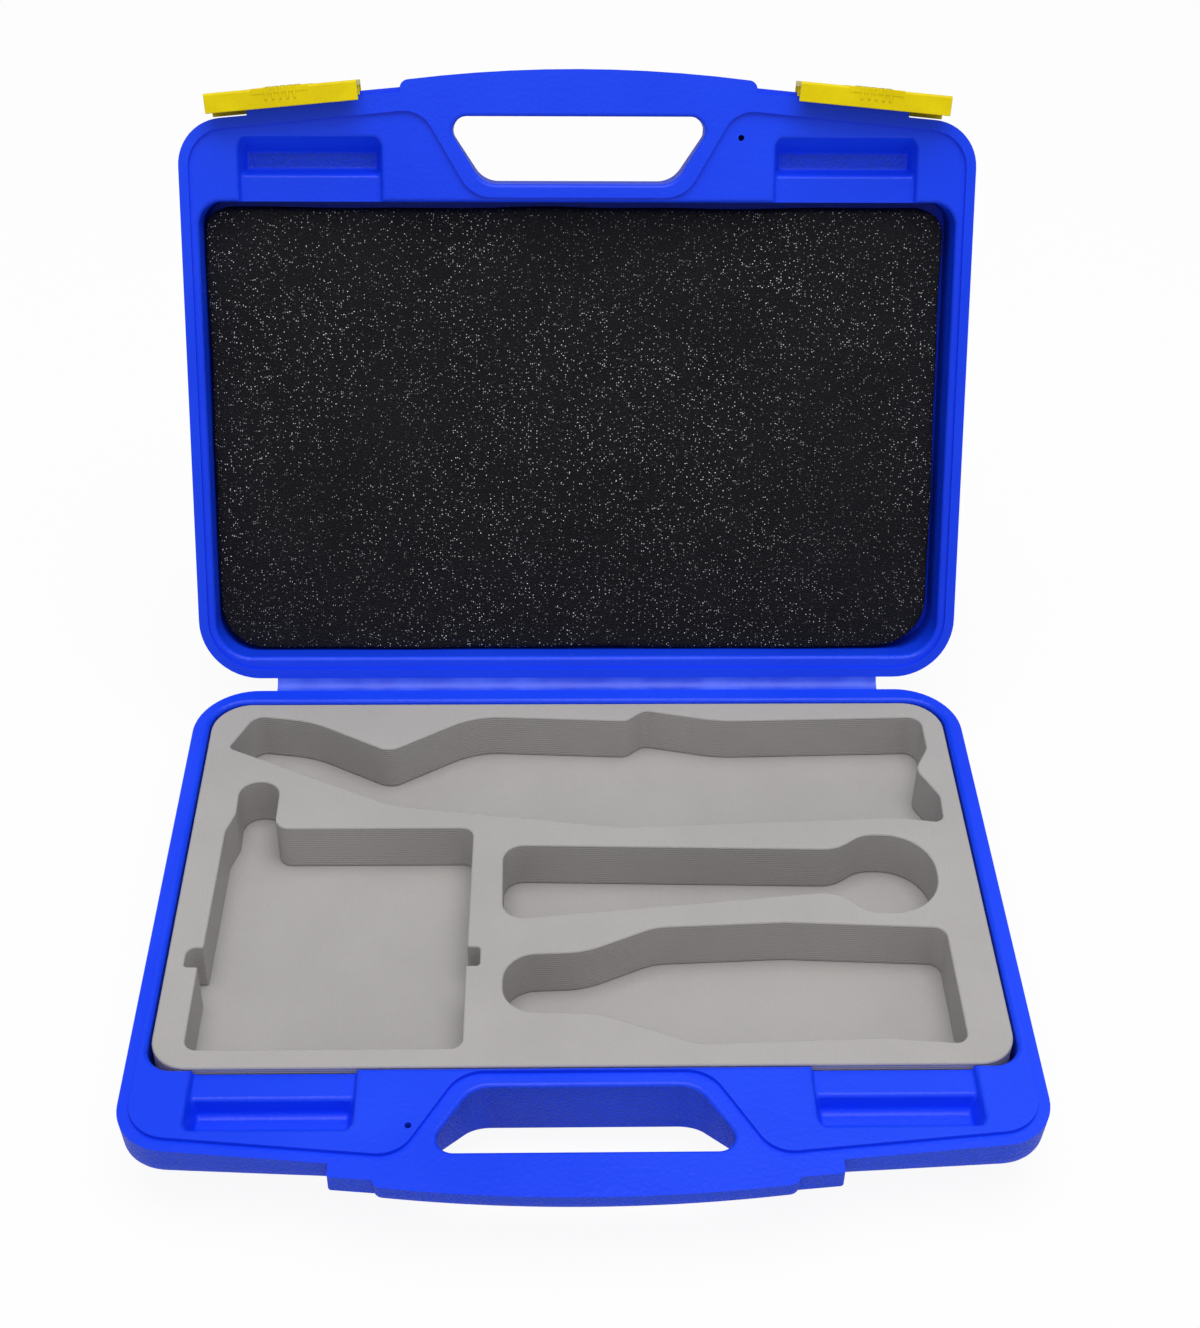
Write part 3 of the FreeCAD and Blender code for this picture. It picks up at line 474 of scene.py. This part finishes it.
def grainedFaces(half, lean, withSlots):
    # outer walls, the hand opening's walls and the lid's finger slots' floors have the grain;
    # lean is how level a face lies, one for the rim and minus one for the outer face
    zones = grainZones
    side, reach, height = np.abs(half[:, 0]), half[:, 1], half[:, 2]
    upright = np.abs(lean) < zones["upright"]
    draft = np.where(height < zones["draftTop"], zones["draft"], 0)
    wallFront = zones["wallFront"] - (side - zones["wallFrom"]) * zones["wallSlope"]
    front = np.where(side < zones["handleSide"], zones["handleFront"], wallFront)
    outside = (side > zones["side"] - draft) | (reach < zones["rear"] + draft) | (reach > front)
    outside |= pastCorner(zones["frontCorner"], side, reach - zones["frontCorner"]["reach"], draft)
    outside |= pastCorner(zones["rearCorner"], side, zones["rearCorner"]["reach"] - reach, draft)
    outerWall = outside & upright & (height < zones["rimTop"])
    rounding = (lean < zones["leaning"]) & (height < zones["leaningTop"])
    outerFace = (lean < zones["facingOut"]) & (height < zones["facingOutTop"])
    opening = within(zones["opening"], side, reach) & upright & (height < zones["openingTop"])
    slot = within(zones["slot"], side, reach) & (lean > zones["level"]) & (height < zones["slotTop"])
    inWell = within(zones["well"], side, reach) & (height > zones["well"]["floor"])
    return (outerWall | rounding | outerFace | opening | (slot & withSlots)) & ~inWell


def buildShell(node, name, toHalf, body):
    piece = mergedCopy(node, name)
    side, reach = shells["vents"][node]

    def doorway(place):
        half = toHalf(np.array([place]))[0]
        near = math.hypot(half[0] - side, half[1] - reach) < shells["ventReach"]
        return near and abs(half[2]) < shells["ventDepth"]

    soften(piece, shells["round"], shells["edgeAngle"], shells["segments"], doorway=doorway)
    weightNormals(piece)
    middles, normals = faceData(piece.data)
    half = toHalf(middles)
    tips = toHalf(middles + normals * shells["probe"])
    lean = (tips[:, 2] - half[:, 2]) / shells["probe"]
    grained = grainedFaces(half, lean, node == "lid_shell")
    piece.data.materials.clear()
    piece.data.materials.append(blueSmooth)
    piece.data.materials.append(blueGrained)
    piece.data.polygons.foreach_set("material_index", grained.astype(np.int32))
    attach(piece, body)
    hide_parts(node)
    return piece


blueSmooth = plasticMaterial("blueSmooth", shells["smooth"])
blueGrained = plasticMaterial("blueGrained", shells["grained"])
baseHalf = buildShell("base_shell", "caseBase", toBaseHalf, "base")
lidHalf = buildShell("lid_shell", "caseLid", toLidHalf, "lid")
print("stage: halves,", len(baseHalf.data.polygons), len(lidHalf.data.polygons), "faces")

# thin web between the halves

web = {
    "thickness": 0.0008, "gap": 0.0036, "endRoom": 0.0004, "innerRoom": 0.00015,
    "rows": 24, "columns": 160, "sag": 0.0003, "waves": (210, 57), "sharpFrom": 50,
    "look": {"dark": (0.012, 0.055, 0.72), "light": (0.05, 0.12, 0.86), "roughness": 0.42, "gloss": 0.4,
             "peelSize": 90.0, "peelDepth": 0.0003, "driftSize": 35.0},
}


def buildWeb():
    # an arc that leaves the base's rim level and meets the lid's rim level, given a thickness
    low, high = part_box("living_hinge")
    turn = math.pi - openAngle
    gap = web["gap"]
    radius = gap / math.tan(turn / 2)
    along = np.linspace(low.x + web["endRoom"], high.x - web["endRoom"], web["columns"])
    across = np.linspace(0, turn, web["rows"])
    side, angle = np.meshgrid(along, across)
    fine, slow = web["waves"]
    wave = web["sag"] * np.sin(along * fine) * np.sin(along * slow + 1) / 2
    bulge = np.sin(np.linspace(0, math.pi, web["rows"]))[:, None] * wave[None, :]
    rings = []
    for depth in (web["innerRoom"], web["innerRoom"] + web["thickness"]):
        r = radius + depth + bulge
        y = hingeY - gap + r * np.sin(angle)
        z = hingeZ + radius - r * np.cos(angle)
        rings.append(np.stack([side, y, z], -1).reshape(-1, 3))
    rows, columns = web["rows"], web["columns"]
    index = np.arange(rows * columns).reshape(rows, columns)
    a, b, c, d = index[:-1, :-1], index[:-1, 1:], index[1:, 1:], index[1:, :-1]
    inner = np.stack([a, b, c, d], -1).reshape(-1, 4)
    outer = np.stack([d, c, b, a], -1).reshape(-1, 4) + rows * columns
    border = np.concatenate([index[0, :], index[1:, -1], index[-1, -2::-1], index[-2:0:-1, 0]])
    nextBorder = np.roll(border, -1)
    rim = np.stack([nextBorder, border, border + rows * columns, nextBorder + rows * columns], -1)
    piece = meshFrom("hingeWeb", np.concatenate(rings), np.concatenate([inner, outer, rim]).tolist())
    faceOutward(piece.data)
    smoothByAngle(piece.data, web["sharpFrom"])
    piece.data.materials.append(plasticMaterial("blueWeb", web["look"]))
    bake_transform(piece)
    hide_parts("living_hinge")


buildWeb()
print("stage: hinge web")

# slide latches

latches = {
    "round": 0.00036, "segments": 3, "edgeAngle": 30, "least": 0.0007,
    "look": {"dark": (0.7, 0.545, 0.001), "light": (0.79, 0.64, 0.002), "roughness": 0.3, "gloss": 0.13,
             "peelSize": 420.0, "peelDepth": 0.00016, "driftSize": 40.0},
}
yellowPlastic = plasticMaterial("yellowPlastic", latches["look"])


def buildLatch(node, name):
    piece = mergedCopy(node, name)
    soften(piece, latches["round"], latches["edgeAngle"], latches["segments"], latches["least"])
    weightNormals(piece)
    piece.data.materials.clear()
    piece.data.materials.append(yellowPlastic)
    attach(piece, node)
    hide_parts(node)


buildLatch("latch_left", "slideLatchLeft")
buildLatch("latch_right", "slideLatchRight")
print("stage: latches")

# grey foam tray and its backing

tray = {
    "round": 0.0009, "segments": 3, "edgeAngle": 50,
    "backing": {"round": 0.0004, "segments": 2},
    "look": {"dark": (0.405, 0.39, 0.384), "light": (0.438, 0.422, 0.416), "roughness": 0.85, "gloss": 0.2,
             "cellSize": 1500.0, "cellDepth": 0.00012, "driftSize": 14.0, "pitShare": 0.12,
             "pitColour": (0.29, 0.278, 0.273), "sparkleFrom": 0.97, "cutLines": 260.0, "cutDepth": 0.00012},
}
greyFoam = foamMaterial("greyFoam", tray["look"])


def buildTraySheet(node, name, width, segments):
    piece = mergedCopy(node, name)
    soften(piece, width, tray["edgeAngle"], segments)
    weightNormals(piece)
    piece.data.materials.clear()
    piece.data.materials.append(greyFoam)
    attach(piece, "base")
    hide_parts(node)


buildTraySheet("foam_tray", "trayFoam", tray["round"], tray["segments"])
buildTraySheet("foam_tray_floor", "trayBacking", tray["backing"]["round"], tray["backing"]["segments"])
print("stage: foam tray")

# black pad in the lid, with its glue

pad = {
    "around": 480, "rings": 46, "rollRings": 6, "sideRings": 6, "ringSpread": 0.85, "sharpFrom": 60,
    "round": 0.0022, "thickness": 0.015, "surface": -0.01265, "glueRoom": 0.0001,
    "left": -0.1712, "right": 0.1684, "back": 0.0146, "front": 0.2242,
    "corners": (0.024, 0.0115, 0.0098, 0.0205), "cornerSteps": 24,
    "wave": 0.0006, "waveTurns": (7, 17), "waveShare": 0.6, "waveFade": 0.02,    # unevenly cut outline
    "swell": 0.0005, "swellWaves": (61, 47), "swellFade": 0.004,
    "bulge": 0.0006,
    "look": {"dark": (0.006, 0.006, 0.0078), "light": (0.01, 0.01, 0.0125), "roughness": 0.8, "gloss": 0.22,
             "cellSize": 1300.0, "cellDepth": 0.0006, "driftSize": 30.0, "pitShare": 0.7,
             # the white below is painted light: glints on the pad's cell walls
             "pitColour": (0.003, 0.003, 0.004), "sparkleFrom": 0.3, "sparkColour": (1.0, 1.0, 1.0)},
}


def roundedOutline(left, right, back, front, radii, count):
    # four quarter turns joined by straight runs, evenly spaced by length
    pieces = []
    centres = ((right, back, 1, -1, -90), (right, front, 1, 1, 0), (left, front, -1, 1, 90),
               (left, back, -1, -1, 180))
    for (x, y, sx, sy, start), radius in zip(centres, radii):
        turn = np.radians(np.linspace(start, start + 90, pad["cornerSteps"]))
        pieces.append(np.stack([x - sx * radius + radius * np.cos(turn),
                                y - sy * radius + radius * np.sin(turn)], 1))
    corners = np.concatenate(pieces + [pieces[0][:1]])
    steps = np.r_[0, np.cumsum(np.linalg.norm(np.diff(corners, axis=0), axis=1))]
    wanted = np.linspace(0, steps[-1], count, endpoint=False)
    return np.stack([np.interp(wanted, steps, corners[:, axis]) for axis in (0, 1)], 1)


def padRings(length):
    # how far each ring lies in from the outline and down from the top: the flat top,
    # a quarter circle at the edge, and the side
    flat = np.linspace(0, 1, pad["rings"])[1:] ** pad["ringSpread"]
    roll = np.linspace(0, math.pi / 2, pad["rollRings"])[1:]
    side = np.linspace(0, 1, pad["sideRings"])[1:]
    height = pad["thickness"] - pad["glueRoom"] - pad["round"]
    inset = [pad["round"] + (length - pad["round"]) * (1 - t) for t in flat]
    inset += [pad["round"] * (1 - math.sin(a)) * np.ones_like(length) for a in roll]
    inset += [pad["bulge"] * math.sin(math.pi * b) * np.ones_like(length) for b in side]
    drop = [0.0 for t in flat]
    drop += [pad["round"] * (1 - math.cos(a)) for a in roll]
    drop += [pad["round"] + height * b for b in side]
    return inset, drop


def padPoints():
    outline = roundedOutline(pad["left"], pad["right"], pad["back"], pad["front"], pad["corners"],
                             pad["around"])
    middle = outline.mean(0)
    away = outline - middle
    length = np.linalg.norm(away, axis=1, keepdims=True)
    turn = np.linspace(0, 2 * math.pi, pad["around"], endpoint=False)[:, None]
    (few, many), share = pad["waveTurns"], pad["waveShare"]
    uneven = pad["wave"] * (np.sin(few * turn + 1) + share * np.sin(many * turn + 2)) / (1 + share)
    acrossWave, alongWave = pad["swellWaves"]
    inset, drop = padRings(length)
    points = [np.array([[middle[0], middle[1], pad["surface"]]])]
    for shrink, down in zip(inset, drop):
        nearEdge = np.clip(1 - shrink / pad["waveFade"], 0, 1)
        place = middle + away * (1 - (shrink + uneven * nearEdge) / length)
        swell = pad["swell"] * np.sin(place[:, 0] * acrossWave + 1) * np.sin(place[:, 1] * alongWave + 2)
        nearTop = np.clip(1 - down / pad["swellFade"], 0, 1)
        points.append(np.column_stack([place, pad["surface"] - down + swell * nearTop]))
    underside = pad["surface"] - pad["thickness"] + pad["glueRoom"]
    points.append(np.array([[middle[0], middle[1], underside]]))
    return np.concatenate(points), len(inset)


def ringFaces(count, rings):
    # a fan at the top's middle, bands between the rings, a fan at the underside's middle
    step = np.arange(count)
    after = (step + 1) % count
    last = 1 + (rings - 1) * count
    top = np.stack([np.zeros(count, int), 1 + step, 1 + after], 1)
    bottom = np.stack([np.full(count, 1 + rings * count), last + after, last + step], 1)
    bands = []
    for ring in range(rings - 1):
        low = 1 + ring * count
        bands.append(np.stack([low + step, low + count + step, low + count + after, low + after], 1))
    return top.tolist() + np.concatenate(bands).tolist() + bottom.tolist()


def buildPad():
    half, rings = padPoints()
    places = fromLidHalf(half[:, 0], half[:, 1], half[:, 2])
    piece = meshFrom("lidPad", places, ringFaces(pad["around"], rings))
    faceOutward(piece.data)
    smoothByAngle(piece.data, pad["sharpFrom"])
    piece.data.materials.append(foamMaterial("blackFoam", pad["look"]))
    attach(piece, "lid")
    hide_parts("lid_foam_pad")


glue = {
    "look": {"dark": (0.5, 0.48, 0.4), "light": (0.6, 0.58, 0.5), "roughness": 0.5, "gloss": 0.4,
             "peelSize": 300.0, "peelDepth": 0.0002, "driftSize": 20.0},
}


def buildGlue():
    piece = mergedCopy("lid_pad_adhesive", "padGlue")
    weightNormals(piece)
    piece.data.materials.clear()
    piece.data.materials.append(plasticMaterial("glueFilm", glue["look"]))
    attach(piece, "lid")
    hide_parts("lid_pad_adhesive")


buildPad()
buildGlue()
print("stage: lid pad")

# floor, light and camera

studio = {
    "floorColour": (0.86, 0.86, 0.87), "floorGlow": 0.93, "floorHalf": 6.0, "worldStrength": 0.43,
    "top": {"place": (0.08, -0.12, 1.9), "aim": (0, 0.05, 0.1), "size": 1.5, "watts": 27},
    "front": {"place": (-0.15, -1.7, 1.5), "aim": (0, 0.1, 0.15), "size": 0.9, "watts": 1.6},
}


def buildFloor():
    far = studio["floorHalf"]
    corners = np.array([[-far, -far, 0], [far, -far, 0], [far, far, 0], [-far, far, 0]])
    floor = meshFrom("floor", corners, [[0, 1, 2, 3]])
    material, tree, shader, place = startMaterial("paleFloor")
    tree.nodes.remove(shader)
    plain = add(tree, "ShaderNodeBsdfDiffuse", None, {"Color": (*studio["floorColour"], 1)})
    glow = add(tree, "ShaderNodeEmission", None, {"Color": (1, 1, 1, 1), "Strength": 1.0})
    seen = add(tree, "ShaderNodeLightPath").outputs["Is Camera Ray"]
    mix = add(tree, "ShaderNodeMixShader", None, {0: calc(tree, "MULTIPLY", seen, studio["floorGlow"])})
    tree.links.new(plain.outputs[0], mix.inputs[1])
    tree.links.new(glow.outputs[0], mix.inputs[2])
    tree.links.new(mix.outputs[0], tree.nodes["Material Output"].inputs["Surface"])
    floor.data.materials.append(material)


def buildWorld():
    world = bpy.data.worlds.new("studio")
    world.use_nodes = True
    tree = world.node_tree
    soft = tree.nodes["Background"]
    soft.inputs["Color"].default_value = (1, 1, 1, 1)
    soft.inputs["Strength"].default_value = studio["worldStrength"]
    white = add(tree, "ShaderNodeBackground", None, {"Color": (1, 1, 1, 1), "Strength": 1.0})
    seen = add(tree, "ShaderNodeLightPath").outputs["Is Camera Ray"]
    mix = add(tree, "ShaderNodeMixShader", None, {0: seen})
    tree.links.new(soft.outputs[0], mix.inputs[1])
    tree.links.new(white.outputs[0], mix.inputs[2])
    tree.links.new(mix.outputs[0], tree.nodes["World Output"].inputs["Surface"])
    bpy.context.scene.world = world


def buildLamp(name, plan):
    light = bpy.data.lights.new(name, "AREA")
    light.shape = "SQUARE"
    light.size = plan["size"]
    light.energy = plan["watts"]
    lamp = link(bpy.data.objects.new(name, light))
    place = np.array(plan["place"])
    away = place - np.array(plan["aim"])
    lamp.location = plan["place"]
    flat = math.hypot(away[0], away[1])
    lamp.rotation_euler = (math.atan2(flat, away[2]), 0, math.atan2(away[0], -away[1]))


# pixels of the whole picture, and the camera's place from the hinge line
view = {
    "sensor": 36, "focal": 2029.7, "size": (1200, 1328), "centre": (591.1, 576.1),
    "place": (-0.0137, -0.7355, 0.6427), "turns": (51.9233, -0.6594, -0.9912),
}


def buildCamera():
    (wide, tall), (centreX, centreY), (x, y, z) = view["size"], view["centre"], view["place"]
    camera = bpy.data.cameras.new("camera")
    camera.sensor_width = view["sensor"]
    camera.lens = view["sensor"] * view["focal"] / tall
    camera.shift_x = (wide / 2 - centreX) / tall
    camera.shift_y = (centreY - tall / 2) / tall
    holder = link(bpy.data.objects.new("camera", camera))
    holder.location = (x, hingeY + y, hingeZ + z)
    holder.rotation_euler = tuple(math.radians(angle) for angle in view["turns"])
    bpy.context.scene.camera = holder


buildFloor()
buildWorld()
buildLamp("topLight", studio["top"])
buildLamp("frontLight", studio["front"])
buildCamera()
bpy.context.scene.view_settings.view_transform = "Standard"
print("stage: studio")
